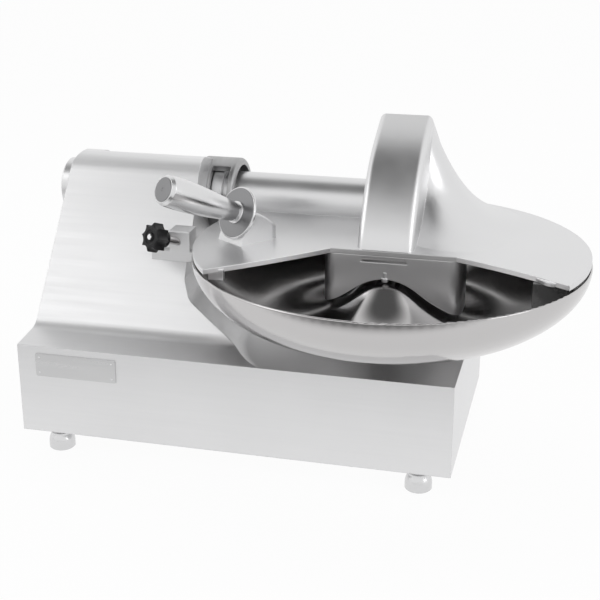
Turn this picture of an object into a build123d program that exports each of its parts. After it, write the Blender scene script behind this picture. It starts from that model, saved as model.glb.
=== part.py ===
from build123d import *
from math import acos, asin, atan2, cos, degrees, hypot, radians, sin, sqrt, tan
import os

# Bench-top meat bowl cutter. Millimetres, +Z up. The knife shaft runs along X, the bowl axis
# stands at y = 0, the front is -Y and the table is z = 0.

# Housing: a long low base with a tower on its left end, folded from sheet.
base_length = 546.0
base_depth = 308.0
base_height = 116.0
base_front_reach = 118.0
base_corner_radius = 9.0
base_edge_radius = 2.5
foot_height = 30.0
foot_radius = 16.5
foot_inset_x = 41.0
foot_inset_y = 23.0
foot_post = 24.0
post_height = 30.0
stud_radius = 4.0
stud_length = 18.0
wall = 3.0
bottom_plate_thickness = 2.5

# Bowl, from its rim plane and its own axis.
bowl_from_left = 447.0
bowl_radius = 238.0
bowl_wall = 3.0
bowl_dome_drop = 27.0
bowl_flank_radius = 50.0
bowl_flank_drop = 52.0
bowl_trough_radius = 138.0
bowl_trough_drop = 79.0
bowl_shoulder_radius = 215.0
bowl_shoulder_drop = 45.0
rim_above_deck = 118.0
bowl_boss_radius = 32.0
spindle_radius = 16.0
spindle_flange = 9.0
spindle_nose = 30.0
drive_pin_radius = 4.0
drive_pin_circle = 23.0
spindle_housing_radius = 27.0

# Knife shaft line.
shaft_behind_bowl = 137.0
shaft_above_rim = 22.0
knife_shaft_radius = 10.0
shaft_housing_radius = 17.5
bearing_radius = 14.0
bearing_width = 14.0
shaft_socket_radius = 15.0
shaft_socket_square = 14.0
running_gap = 0.06
seat_gap = 0.3

# Tower from the side: a leaning front on a shallow ledge and a top that falls to the rear.
ledge_depth = 52.5
ledge_rise = 6.5
ledge_fillet = 22.0
tower_lean = 0.65
tower_crest_above_shaft = 69.0
tower_top_fall = 0.30
tower_crest_radius = 40.0
tower_rear_radius = 30.0
tower_left_slope = 0.052
tower_left_radius = 20.0
tower_wall_gap = 15.5
tower_wall_turn = 4.4
tower_shoulder_drop = 20.0
tower_shoulder_slope = 0.81
recess_gap = 17.0
recess_floor_radius = 182.0
recess_bend = 18.0
recess_step = 8.0
recess_knee = 48.0
recess_rise = 22.0

# Attachment hub on the left wall, in line with the knife shaft.
hub_reach = 30.0
hub_radius = 37.0
hub_bore_radius = 24.5
hub_flange_radius = 50.0
hub_flange_thickness = 7.0
hub_bore_depth = 25.0

# Hinge collar on the right wall.
collar_radius = 50.0
collar_bore_radius = 41.0
collar_width = 39.5
collar_sink = 10.0
collar_edge_radius = 5.0
collar_rim = 8.0
collar_back = 6.0
window_low = 12.0
window_high = 62.0
hinge_disc_radius = 39.5
hinge_disc_width = 14.0
hinge_flange_radius = 26.0
hinge_flange_width = 3.5

# Cover over the rear of the bowl.
cover_gap = 3.5
cover_plate = 6.0
cover_inset = 1.5
cover_wall = 4.0
swing_gap = 1.5
tube_radius = 32.0
tube_round_x = -224.0
swing_reach = 224.0
swing_steps = 8
hood_left = -37.0
hood_right = 31.0
hood_front_y = -28.0
hood_foot_z = -5.0
hood_top_y = 118.0
hood_top_z = 146.5
hood_edge_radius = 8.0
wing_left_angle = 217.0
wing_right_angle = -24.6
wing_tip_inset = 4.0
wing_end_inset = 35.0
wing_ridge_ahead = 22.0
wing_lift = 136.0
wing_fall = 3.6
wing_steps = 8
wing_bow = 4.0
wing_tip_radius = 9.0
wing_margin = 2.5
lug_width = 18.0
lug_depth = 7.0
lug_drop = 6.0

# Knives.
knife_sweep_radius = 93.5
knife_room = 1.5
knife_thickness = 3.0
knife_pitch = 17.0
knife_left_x = -14.0
knife_angle = 40.0
knife_hub_radius = 22.0
knife_nut_radius = 19.0
knife_nut_flat = 15.0
curve_steps = 14

# Knife guard and scraper, from the bowl axis and the rim plane.
guard_left = -78.0
guard_right = 92.0
guard_front = -28.0
guard_plate = 4.0
guard_side_depth = 44.0
guard_corner = 16.0
guard_clearance = 8.0
guard_bolt_x = -1.0
guard_bolt_radius = 3.0
scraper_reach = 61.0
scraper_y = -82.0
scraper_thickness = 8.0
scraper_clearance = 2.0

# Lift handle with its guard disc.
handle_turn = 35.5
handle_rise = 24.0
handle_length = 115.0
handle_root_radius = 11.0
handle_end_radius = 18.5
guard_radius = 32.5
guard_thickness = 4.0
guard_x = -186.0
guard_y = -28.0
guard_above_rim = 45.5
boss_width = 45.0
boss_length = 50.0
boss_head = 5.5
boss_tail = 22.0
boss_swell = 3.0
boss_round = 12.0

# Latch bracket and its star knob, on the leaning front of the tower.
bracket_below_rim = 14.5
bracket_thickness = 14.5
bracket_stand = 10.0
bracket_width = 55.0
bracket_rim_gap = 8.0
latch_block_width = 27.0
latch_block_height = 25.5
latch_block_inset = 4.0
knob_radius = 18.5
knob_lobes = 8
knob_length = 17.0
knob_stud_radius = 5.0
knob_turn = 32.0
knob_rise = 19.0
knob_neck = 8.0
knob_lobe_radius = 4.0
knob_stand = 25.5
knob_stud_depth = 14.0

# Nameplate, left bare, and the control station on the left wall.
nameplate_width = 106.0
nameplate_height = 30.0
nameplate_from_left = 24.0
nameplate_below_deck = 9.0
nameplate_thickness = 1.2
station_y = -52.0
station_z = 98.0
station_width = 108.0
station_height = 56.0
station_plate = 4.0
button_radius = 11.0
button_spacing = 46.0
button_travel = 3.0
button_stand = 6.0
gland_x = -228.0
gland_z = 70.0
gland_radius = 10.0
gland_bore = 5.0
louvre_count = 9
louvre_pitch = 14.0
louvre_x = -180.0
louvre_z = 60.0
louvre_height = 44.0
vent_pitch = 11.0
vent_width = 3.0
louvre_width = 4.0

# Drive inside the housing.
pulley_from_left = 26.0
motor_from_left = 70.0
motor_radius = 46.0
motor_length = 186.0
motor_y = 48.0
motor_z = 86.0
motor_ribs = 20
motor_rib_depth = 5.0
motor_shield = 18.0
motor_shaft_radius = 9.0
motor_pulley_radius = 32.0
knife_pulley_radius = 28.0
pulley_width = 24.0
groove_width = 10.0
groove_depth = 6.0
drive_plate_thickness = 8.0
belt_thickness = 5.0
coupling_radius = 16.0
coupling_length = 48.0
coupling_gap = 2.0
worm_radius = 7.0
gearbox_size = 92.0
gearbox_foot = 14.0
gearbox_deck_gap = 5.0
gearbox_grip = 40.0
shaft_housing_from_left = 54.0
shaft_socket_out = 4.0
shaft_socket_length = 26.0
nut_length = 16.0

# Places worked out from the sizes above.
rim_radius = bowl_radius + bowl_wall
cover_radius = rim_radius - cover_inset
left_x = (hub_reach - bowl_from_left - rim_radius) / 2
right_x = left_x + base_length
bowl_x = left_x + bowl_from_left
front_y = -base_front_reach
rear_y = front_y + base_depth
base_z = foot_height
deck_z = base_z + base_height
rim_z = deck_z + rim_above_deck
shaft_y = shaft_behind_bowl
shaft_z = rim_z + shaft_above_rim
bowl_axis = Axis((bowl_x, 0, 0), (0, 0, 1))
crest_z = shaft_z + tower_crest_above_shaft
foot_y = front_y + ledge_depth
foot_z = deck_z + ledge_rise
crest_y = foot_y + tower_lean * (crest_z - foot_z)
hood_left_x = bowl_x + hood_left
plate_z = rim_z + cover_gap
floor_z = base_z + bottom_plate_thickness
boss_z = rim_z - bowl_trough_drop
spindle_top_z = boss_z + spindle_nose
right_wall_x = bowl_x - rim_radius - tower_wall_gap - shaft_y * tan(radians(tower_wall_turn))
pulley_x0 = left_x + pulley_from_left
motor_x0 = left_x + motor_from_left
motor_x1 = motor_x0 + motor_length
coupling_x0 = motor_x1 + coupling_gap
coupling_x1 = coupling_x0 + coupling_length
coupling_mid = (coupling_x0 + coupling_x1) / 2
gearbox_z0 = floor_z + gearbox_foot
gearbox_z1 = deck_z - wall - gearbox_deck_gap
housing_x0 = left_x + shaft_housing_from_left
housing_x1 = hood_left_x + cover_wall
shaft_x0 = left_x - shaft_socket_out
plate_mid = cover_gap + cover_plate / 2
tube_left = right_wall_x - bowl_x + 4
disc_x = tube_left + hinge_disc_width + 3
knife_left_plane = bowl_x + knife_left_x
knife_right_plane = knife_left_plane + knife_pitch
nut_x0 = knife_right_plane + knife_thickness
shaft_x1 = nut_x0 + nut_length
wing_end_x = cover_radius - wing_end_inset
bracket_right_x = bowl_x - rim_radius - bracket_rim_gap
bracket_left_x = bracket_right_x - bracket_width
bracket_top_z = rim_z - bracket_below_rim
latch_block_x1 = bracket_right_x - latch_block_inset
latch_block_x0 = latch_block_x1 - latch_block_width
sky = 2 * tower_crest_above_shaft + base_depth

parts = {}


def x_rod(x0, x1, radius, y=shaft_y, z=shaft_z):
    """Round bar along X between two places, on the knife shaft line unless told otherwise."""
    return Pos((x0 + x1) / 2, y, z) * Rot(0, 90, 0) * Cylinder(radius, x1 - x0)


def y_rod(x, y0, y1, radius, z):
    """Round bar along Y."""
    return Pos(x, (y0 + y1) / 2, z) * Rot(90, 0, 0) * Cylinder(radius, y1 - y0)


def z_rod(x, y, z0, z1, radius):
    """Round bar along Z between two heights."""
    return Pos(x, y, (z0 + z1) / 2) * Cylinder(radius, z1 - z0)


def block(x0, x1, y0, y1, z0, z1):
    """Box from its six faces."""
    return Pos((x0 + x1) / 2, (y0 + y1) / 2, (z0 + z1) / 2) * Box(x1 - x0, y1 - y0, z1 - z0)


def along_y(points, y0, y1):
    """Prism along Y from (x, z) points."""
    face = Plane.XZ * make_face(Polyline(*points, close=True))
    return Pos(0, y1, 0) * extrude(face, y1 - y0, dir=(0, -1, 0))


def along_x(face, x0, x1):
    """Prism along X from a face drawn in (y, z)."""
    return Pos(x0, 0, 0) * extrude(Plane.YZ * face, x1 - x0, dir=(1, 0, 0))


# Housing


def rounded(points, rounds):
    """Flat face from corner points, with some corners rounded."""
    face = make_face(Polyline(*points, close=True))
    for corner, radius in rounds.items():
        vertex = face.vertices().sort_by_distance((corner[0], corner[1], 0))[0]
        face = fillet(vertex, radius)
    return face


def side_profile(inset):
    """Side view of the tower and ledge, front to the left, shrunk by the wall."""
    rear_z = crest_z - tower_top_fall * (rear_y - crest_y)
    corners = [(front_y, base_z), (front_y, deck_z), (foot_y, foot_z), (crest_y, crest_z),
               (rear_y, rear_z), (rear_y, base_z)]
    rounds = {(foot_y, foot_z): ledge_fillet, (crest_y, crest_z): tower_crest_radius,
              (rear_y, rear_z): tower_rear_radius, (front_y, deck_z): base_edge_radius}
    face = rounded(corners, rounds)
    return offset(face, -inset) if inset else face


def front_face_y(z):
    """Place of the tower's leaning front at one height."""
    return foot_y + tower_lean * (z - foot_z)


def recess_form(inset):
    """Round recess that follows the bowl down to the deck."""
    outer = rim_radius + recess_gap + inset
    floor = deck_z - inset
    corners = [(0, floor), (recess_floor_radius + inset, floor), (outer - recess_step, floor + recess_knee),
               (outer, floor + recess_knee + recess_rise), (outer, floor + sky), (0, floor + sky)]
    rounds = {corners[1]: recess_bend, corners[2]: recess_bend}
    face = rounded(corners, rounds)
    return revolve(Pos(bowl_x, 0, 0) * (Plane.XZ * face), bowl_axis)


def right_wall_cut(inset):
    """Everything right of the tower's flat wall, above a sloping shoulder."""
    edge_x = bowl_x - rim_radius - tower_wall_gap - inset
    shoulder_z = rim_z - tower_shoulder_drop
    reach = (shoulder_z - deck_z) / tower_shoulder_slope
    far = base_length
    cut = along_y([(0, shoulder_z), (reach, deck_z), (far, deck_z), (far, crest_z + sky),
                   (0, crest_z + sky)], -base_depth, base_depth)
    return Pos(edge_x, 0, -inset) * Rot(0, 0, tower_wall_turn) * cut


def housing_form(inset):
    """Outer form of the housing, or its cavity when the inset is the wall."""
    tower = along_x(side_profile(inset), left_x + inset, right_x - inset)
    lean_x = left_x + inset + tower_left_slope * (crest_z - deck_z)
    top = crest_z - inset
    end = rounded([(left_x + inset, base_z), (left_x + inset, deck_z), (lean_x, top), (right_x, top),
                   (right_x, base_z)], {(lean_x, top): tower_left_radius})
    tower &= Pos(0, rear_y + 1, 0) * extrude(Plane.XZ * end, base_depth + 2, dir=(0, -1, 0))
    tower -= recess_form(inset)
    tower -= right_wall_cut(inset)
    base = block(left_x + inset, right_x - inset, front_y + inset, rear_y - inset, base_z, deck_z - inset)
    right_edges = base.edges().filter_by(Axis.Z).group_by(Axis.X)[-1]
    base = fillet(right_edges, base_corner_radius - inset)
    return tower + base


def foot_places():
    """Centres of the four feet."""
    xs = (left_x + foot_inset_x, right_x - foot_inset_x)
    ys = (front_y + foot_inset_y, rear_y - foot_inset_y)
    return [(x, y) for y in ys for x in xs]


def housing():
    """Folded housing, open below, with corner posts, shaft holes and rear louvres."""
    shell = housing_form(0) - Pos(0, 0, -1) * housing_form(wall)
    half = foot_post / 2
    for x, y in foot_places():
        x_wall = left_x + 1 if x < 0 else right_x - 1
        y_wall = front_y + 1 if y < 0 else rear_y - 1
        shell += block(min(x - half, x_wall), max(x + half, x_wall), min(y - half, y_wall),
                       max(y + half, y_wall), floor_z, floor_z + post_height)
        shell -= z_rod(x, y, floor_z - 1, floor_z + stud_length + 2, stud_radius + seat_gap)
    shell -= x_rod(left_x - 5, left_x + 60, hub_bore_radius + wall)
    shell -= x_rod(right_wall_x - 30, right_wall_x + 30, shaft_housing_radius + seat_gap)
    shell -= z_rod(bowl_x, 0, deck_z - 10, deck_z + 5, spindle_housing_radius + seat_gap)
    for y in button_places():
        shell -= x_rod(left_x - 5, left_x + 40, button_radius + seat_gap, y, station_z)
    shell -= y_rod(gland_x, rear_y - 10, rear_y + 5, gland_radius + seat_gap, gland_z)
    for k in range(louvre_count):
        x = louvre_x + k * louvre_pitch
        shell -= block(x, x + louvre_width, rear_y - 2 * wall, rear_y + wall, louvre_z, louvre_z + louvre_height)
    return shell


def bottom_plate():
    """Flat plate let into the open bottom, drilled for the feet and slotted for air."""
    inset = wall + seat_gap
    plate = block(left_x + inset, right_x - inset, front_y + inset, rear_y - inset, base_z, floor_z)
    right_edges = plate.edges().filter_by(Axis.Z).group_by(Axis.X)[-1]
    plate = fillet(right_edges, base_corner_radius - inset)
    for x, y in foot_places():
        plate -= z_rod(x, y, base_z - 1, floor_z + 1, stud_radius + seat_gap)
    for k in range(louvre_count):
        y = motor_y - motor_radius + k * vent_pitch
        plate -= block(motor_x0 + 30, motor_x1 - 30, y, y + vent_width, base_z - 1, floor_z + 1)
    return plate


def foot():
    """Bell-shaped foot with its stud, standing on the table at the origin."""
    r = foot_radius
    bell = Polyline((0, 0), (r - 1.5, 0), (r, 1.5), (r, 7))
    shoulder = ThreePointArc((r, 7), (r - 0.8, 14), (r - 3.5, 20))
    top = Polyline((r - 3.5, 20), (r - 3.5, 22), (r - 6, 23), (r - 6, base_z), (0, base_z), (0, 0))
    body = revolve(Plane.XZ * make_face(Wire(bell.edges() + shoulder.edges() + top.edges())), Axis.Z)
    return body + z_rod(0, 0, base_z, floor_z + stud_length, stud_radius)


# Bowl and its spindle


def bowl_curves(distance):
    """The bowl's inner curve from the axis to the rim, and the curve at a distance inside it."""
    inner = Spline((0, -bowl_dome_drop), (bowl_flank_radius, -bowl_flank_drop),
                   (bowl_trough_radius, -bowl_trough_drop), (bowl_shoulder_radius, -bowl_shoulder_drop),
                   (bowl_radius, -bowl_wall / 2), tangents=[(1, 0), (0.05, 1)])
    points = []
    for k in range(curve_steps + 1):
        spot = inner @ (k / curve_steps)
        way = inner % (k / curve_steps)
        points.append((spot.X - way.Y * distance, spot.Y + way.X * distance))
    return inner, Spline(*points)


def bowl():
    """Polished bowl: a ring trough round a central dome, with a beaded rim and a boss below."""
    inner, outer = bowl_curves(-bowl_wall)
    lip = ThreePointArc(inner @ 1, (bowl_radius + bowl_wall / 2, 0), outer @ 1)
    middle = Line(outer @ 0, inner @ 0)
    face = make_face(Wire(inner.edges() + lip.edges() + outer.edges() + middle.edges()))
    shell = revolve(Pos(bowl_x, 0, rim_z) * (Plane.XZ * face), bowl_axis)
    boss = z_rod(bowl_x, 0, boss_z, rim_z, bowl_boss_radius)
    under = Polyline(inner @ 1, (2 * bowl_radius, 0), (2 * bowl_radius, -bowl_radius), (0, -bowl_radius), inner @ 0)
    below = make_face(Wire(inner.edges() + under.edges()))
    shell += boss & revolve(Pos(bowl_x, 0, rim_z) * (Plane.XZ * below), bowl_axis)
    shell -= z_rod(bowl_x, 0, boss_z - 1, spindle_top_z + seat_gap, spindle_radius + running_gap)
    for pin in drive_pins(running_gap):
        shell -= pin
    return shell


def drive_pins(gap=0.0):
    """Two pins that turn the bowl."""
    z0 = boss_z - spindle_flange if gap == 0 else boss_z - 1
    return [z_rod(bowl_x, side * drive_pin_circle, z0, boss_z + 10 + gap, drive_pin_radius + gap)
            for side in (-1, 1)]


def bowl_spindle():
    """Upright spindle with the flange that the bowl rests on."""
    rod = z_rod(bowl_x, 0, gearbox_z1 - gearbox_grip, boss_z, spindle_radius)
    nose = z_rod(bowl_x, 0, boss_z, spindle_top_z, spindle_radius)
    nose = chamfer(nose.edges().group_by(Axis.Z)[-1], 2)
    flange = z_rod(bowl_x, 0, boss_z - spindle_flange, boss_z, bowl_boss_radius + 4)
    spindle = rod + flange + nose
    for pin in drive_pins():
        spindle -= pin
    return spindle


def spindle_housing():
    """Flanged bearing housing that carries the spindle through the deck."""
    r = spindle_housing_radius
    body = z_rod(bowl_x, 0, gearbox_z1, deck_z, r) + z_rod(bowl_x, 0, deck_z, deck_z + 5, r + 14)
    body += Pos(bowl_x, 0, deck_z + 13) * Cone(r, r - 7, 16)
    return body - z_rod(bowl_x, 0, gearbox_z1 - 1, boss_z, spindle_radius + running_gap)


def gearbox():
    """Closed worm gearbox under the bowl, on its own foot."""
    half = gearbox_size / 2
    case = block(bowl_x - half, bowl_x + half, -half, motor_y + half / 2, gearbox_z0, gearbox_z1)
    case = fillet(case.edges().filter_by(Axis.Z), 10)
    case = chamfer(case.edges().group_by(Axis.Z)[-1], 3)
    case += block(bowl_x - half - 10, bowl_x + half + 10, 10 - half, motor_y + half / 2 - 10, floor_z, gearbox_z0)
    case += x_rod(bowl_x - half - 12, bowl_x - half, 20, motor_y, motor_z)
    case -= x_rod(bowl_x - half - 13, bowl_x - half + 20, worm_radius + running_gap, motor_y, motor_z)
    case -= z_rod(bowl_x, 0, gearbox_z1 - gearbox_grip - 1, gearbox_z1 + 1, spindle_radius + running_gap)
    return case


# Motor and belt drive


def motor():
    """Ribbed motor with end shields and a terminal box."""
    x0, x1 = motor_x0, motor_x1
    body = x_rod(x0 + 1, x1 - 1, motor_radius - motor_rib_depth, motor_y, motor_z)
    for k in range(motor_ribs):
        rib = block(x0 + motor_shield + 2, x1 - motor_shield - 2, motor_y - 1.5, motor_y + 1.5, motor_z,
                    motor_z + motor_radius)
        body += Pos(0, motor_y, motor_z) * Rot(360 * k / motor_ribs, 0, 0) * Pos(0, -motor_y, -motor_z) * rib
    body += x_rod(x0, x0 + motor_shield, motor_radius, motor_y, motor_z)
    body += x_rod(x1 - motor_shield, x1, motor_radius - 2, motor_y, motor_z)
    body += block(x0 + 60, x0 + 120, motor_y - 30, motor_y + 30, floor_z, motor_z - 20)
    body -= x_rod(x0 - 1, x1 + 1, motor_shaft_radius + running_gap, motor_y, motor_z)
    return body


def motor_shaft():
    """Motor shaft, out at both ends and coupled to the worm on the right."""
    return x_rod(pulley_x0, coupling_mid, motor_shaft_radius, motor_y, motor_z)


def shaft_coupling():
    """Jaw coupling between the motor shaft and the worm."""
    body = x_rod(coupling_x0, coupling_x1, coupling_radius, motor_y, motor_z)
    body -= x_rod(coupling_x0 - 1, coupling_mid, motor_shaft_radius, motor_y, motor_z)
    body -= x_rod(coupling_mid, coupling_x1 + 1, worm_radius, motor_y, motor_z)
    for x in (coupling_mid - 7, coupling_mid + 7):
        seam = x_rod(x - 1, x + 1, coupling_radius + 1, motor_y, motor_z)
        body -= seam - x_rod(x - 2, x + 2, coupling_radius - 3, motor_y, motor_z)
    return body


def worm_shaft():
    """Input shaft that enters the gearbox."""
    return x_rod(coupling_mid, bowl_x - gearbox_size / 2 + 19, worm_radius, motor_y, motor_z)


def pulley(radius, bore, y, z):
    """Two-groove V pulley, with the belt's bottom line at the given radius."""
    x0, x1 = pulley_x0, pulley_x0 + pulley_width
    body = x_rod(x0, x1, radius + groove_depth, y, z)
    for centre in belt_places():
        top, bottom = groove_width / 2, groove_width / 2 - 2
        ring = Polyline((centre - bottom, radius), (centre + bottom, radius),
                        (centre + top, radius + groove_depth + 1), (centre - top, radius + groove_depth + 1),
                        close=True)
        ring = revolve(make_face(ring), Axis.X)
        body -= Pos(0, y, z) * ring
    return body - x_rod(x0 - 1, x1 + 1, bore, y, z)


def belt_places():
    """Mid planes of the two belts."""
    mid = pulley_x0 + pulley_width / 2
    return (mid - pulley_width / 4, mid + pulley_width / 4)


def drive_belts():
    """Two V belts from the motor pulley up to the knife shaft."""
    span_y = shaft_y - motor_y
    span_z = shaft_z - motor_z
    reach = hypot(span_y, span_z)
    turn = degrees(atan2(span_z, span_y))

    def loop(extra):
        tilt = asin((motor_pulley_radius - knife_pulley_radius) / reach)
        low = motor_pulley_radius + extra
        high = knife_pulley_radius + extra
        a = (low * sin(tilt), low * cos(tilt))
        b = (reach + high * sin(tilt), high * cos(tilt))
        sides = make_face(Polyline(a, b, (b[0], -b[1]), (a[0], -a[1]), close=True))
        return sides + Circle(low) + Pos(reach, 0) * Circle(high)

    face = loop(seat_gap + belt_thickness) - loop(seat_gap)
    belts = []
    for centre in belt_places():
        half = groove_width / 2 - 2 - 0.4
        ring = Pos(motor_y, motor_z) * Rot(0, 0, turn) * face
        belts.append(along_x(ring, centre - half, centre + half))
    return Compound(belts)


def drive_plate():
    """Steel plate that carries the motor and the left end of the shaft housing."""
    x1 = motor_x0
    x0 = x1 - drive_plate_thickness
    outline = [(motor_y - 55, floor_z), (rear_y - wall - 4, floor_z), (rear_y - wall - 4, shaft_z + 6),
               (shaft_y + 25, shaft_z + 32), (shaft_y - 30, shaft_z + 32), (motor_y + 10, shaft_z - 10),
               (motor_y - 40, deck_z + 10)]
    face = rounded(outline, {outline[3]: 12, outline[4]: 12})
    plate = along_x(face, x0, x1)
    plate -= x_rod(x0 - 1, x1 + 1, shaft_housing_radius)
    plate -= x_rod(x0 - 1, x1 + 1, motor_shaft_radius + 2, motor_y, motor_z)
    return plate


# Knife shaft


def shaft_housing():
    """Fixed tube round the knife shaft, with a bearing seat at each end."""
    tube = x_rod(housing_x0, housing_x1, shaft_housing_radius)
    tube -= x_rod(housing_x0 - 1, housing_x1 + 1, knife_shaft_radius + 2)
    for x0 in bearing_places():
        tube -= x_rod(x0, x0 + bearing_width, bearing_radius)
    return tube


def bearing_places():
    """Left faces of the two bearings."""
    return (housing_x0, housing_x1 - bearing_width)


def bearings():
    """Plain bearings at the two ends of the shaft housing."""
    rings = []
    for x0 in bearing_places():
        ring = x_rod(x0, x0 + bearing_width, bearing_radius)
        rings.append(ring - x_rod(x0 - 1, x0 + bearing_width + 1, knife_shaft_radius + running_gap))
    return Compound(rings)


def knife_shaft():
    """Knife shaft from the attachment hub to the knives, with a square drive socket."""
    shaft = x_rod(shaft_x0, shaft_x1, knife_shaft_radius)
    shaft += x_rod(shaft_x0, shaft_x0 + shaft_socket_length, shaft_socket_radius)
    square = shaft_socket_square
    return shaft - Pos(shaft_x0 + 9, shaft_y, shaft_z) * Box(20, square, square)


def knife_blade(x, angle):
    """Sickle blade on its ring, with a ground cutting edge."""
    r = knife_sweep_radius
    back = ThreePointArc((0, 22), (46, 34), (r, 0))
    edge = ThreePointArc((r, 0), (52, -16), (0, -22))
    blade = make_face(Wire(back.edges() + edge.edges() + Line((0, -22), (0, 22)).edges())) + Circle(22)
    solid = along_x(blade - Circle(knife_shaft_radius), 0, knife_thickness)
    bevel = make_face(Polyline((22, -30), (r + 10, -30), (r + 10, -2), (58, -12), (22, -16), close=True))
    bevel = Pos(-4, 0, 0) * along_x(bevel, 0, 4 + knife_thickness)
    bevel = Pos(0, -14, 0) * Rot(0, 0, 12) * Pos(knife_thickness, 0, 0) * bevel
    return Pos(x, shaft_y, shaft_z) * Rot(angle, 0, 0) * (solid - bevel)


def ring_on_shaft(x0, x1, radius):
    """Sleeve on the knife shaft."""
    return x_rod(x0, x1, radius) - x_rod(x0 - 1, x1 + 1, knife_shaft_radius)


def knife_nut():
    """Round-nosed knife nut with two flats."""
    r = knife_nut_radius
    nut = ring_on_shaft(nut_x0, shaft_x1 + 4, r)
    nut += x_rod(shaft_x1, shaft_x1 + 4, r)
    nut = fillet(nut.edges().group_by(Axis.X)[-1], 3)
    flat = block(nut_x0 + 4, shaft_x1 + 6, shaft_y - 2 * r, shaft_y + 2 * r, shaft_z + knife_nut_flat,
                 shaft_z + 2 * r)
    return nut - flat - mirror(flat, Plane.XY.offset(shaft_z))


# Cover, drawn about the bowl axis and the rim plane


def wing_tip(angle):
    """Point near the rim where a wing's front edge meets the cover's round outline."""
    reach = cover_radius - wing_tip_inset
    return (reach * cos(radians(angle)), reach * sin(radians(angle)))


def cover_outline():
    """Plan of the cover: a disc with its front sector left open and both wing tips rounded."""
    tip_left = wing_tip(wing_left_angle)
    tip_right = wing_tip(wing_right_angle)
    root_left = (guard_left + 10, guard_front)
    root_right = (guard_right - 8, guard_front)
    left_bow = ((tip_left[0] + root_left[0]) / 2, (tip_left[1] + root_left[1]) / 2 - wing_bow)
    right_bow = ((tip_right[0] + root_right[0]) / 2, (tip_right[1] + root_right[1]) / 2 + wing_bow)
    left_out = (tip_left[0] * 1.2, tip_left[1] * 1.2)
    right_out = (tip_right[0] * 1.2, tip_right[1] * 1.2)
    far = -2 * cover_radius
    edges = [ThreePointArc(tip_left, left_bow, root_left), Line(root_left, root_right),
             ThreePointArc(root_right, right_bow, tip_right),
             Polyline(tip_right, right_out, (right_out[0], far), (left_out[0], far), left_out, tip_left)]
    opening = make_face(Wire([edge for piece in edges for edge in piece.edges()]))
    outline = Circle(cover_radius) - opening
    for tip in (tip_left, tip_right):
        vertex = outline.vertices().sort_by_distance((tip[0], tip[1], 0))[0]
        outline = fillet(vertex, wing_tip_radius)
    return outline


def local_rod(x0, x1, radius):
    """Bar on the knife shaft line, in the cover's own frame."""
    return Pos((x0 + x1) / 2, shaft_behind_bowl, shaft_above_rim) * Rot(0, 90, 0) * Cylinder(radius, x1 - x0)


def hood_profile(inset):
    """Side view of the knife hood, shrunk by the wall for its inside."""
    y, z, r = shaft_behind_bowl, shaft_above_rim, knife_sweep_radius + knife_room + cover_wall - inset
    foot = (hood_front_y + inset, hood_foot_z)
    rise = hood_top_z - hood_foot_z
    run = hood_top_y - hood_front_y
    front = Spline(foot, (foot[0] + run * 0.11, foot[1] + rise * 0.3 - inset / 2),
                   (foot[0] + run * 0.41 - inset / 2, foot[1] + rise * 0.67 - inset),
                   (hood_top_y, hood_top_z - inset), tangents=[(0.05, 1), (1, 0.45)])
    top_y, top_z = hood_top_y - y, hood_top_z - inset - z
    rear_top = on_circle(y, z, r, degrees(atan2(top_z, top_y) - acos(r / hypot(top_y, top_z))))
    rear_low = (y + sqrt(r * r - (z - cover_gap) ** 2), cover_gap)
    rear = ThreePointArc(rear_top, on_circle(y, z, r, 25), rear_low)
    top = Line((hood_top_y, hood_top_z - inset), rear_top)
    if inset:
        under = [(rear_low[0], hood_foot_z - cover_wall), (foot[0], hood_foot_z - cover_wall)]
    else:
        under = [(hood_front_y + tube_radius, cover_gap)]
    close = Polyline(rear_low, *under, foot)
    return make_face(Wire(front.edges() + top.edges() + rear.edges() + close.edges()))


def on_circle(y, z, radius, angle):
    """Point on a circle at an angle in degrees."""
    return (y + radius * cos(radians(angle)), z + radius * sin(radians(angle)))


def hood():
    """Knife hood with rounded side edges."""
    body = along_x(hood_profile(0), hood_left, hood_right)
    sides = body.faces().filter_by(Axis.X)
    edges = [edge for side in sides for edge in side.edges() if edge.center().Z > cover_gap + 1]
    return fillet(edges, hood_edge_radius)


def wing_height(share):
    """Height of the wing's ridge over the plate, falling fast and then slowly from the hood."""
    return wing_lift * (1 - share) ** wing_fall


def wing_section(x, share, shrink):
    """Section of the flared right wing at one place along X, front at the left."""
    front = front_edge_y(x) + shrink
    ridge_y = shaft_behind_bowl - wing_ridge_ahead
    rear = shaft_behind_bowl + swing_radius(x) - swing_gap - shrink
    base = cover_gap + cover_plate * 0.7 - shrink / 2
    low = cover_gap - 2 * shrink
    lift = wing_height(share)
    hollow = 1.3 + 1.7 * (1 - share) ** 6
    points = []
    for part in (0, 0.3, 0.55, 0.8, 1):
        points.append((front + (ridge_y - front) * part, base + lift * part ** hollow))
    rear_point = (rear, base)
    middle = ((ridge_y * 2 + rear) / 3, base + lift * 0.93)
    curve = Spline(*points, middle, rear_point)
    rest = Polyline(rear_point, (rear, low), (front, low), (front, base))
    face = make_face(Wire(curve.edges() + rest.edges()))
    return Pos(x, 0, 0) * (Plane.YZ * face)


def front_edge_y(x):
    """Front edge of the right wing at one place along X."""
    tip = wing_tip(wing_right_angle)
    root = guard_right - 8
    share = max((x - root) / (tip[0] - root), 0)
    bow = 4 * wing_bow * share * (1 - share)
    return guard_front + wing_margin + bow + share * (tip[1] - guard_front)


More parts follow.
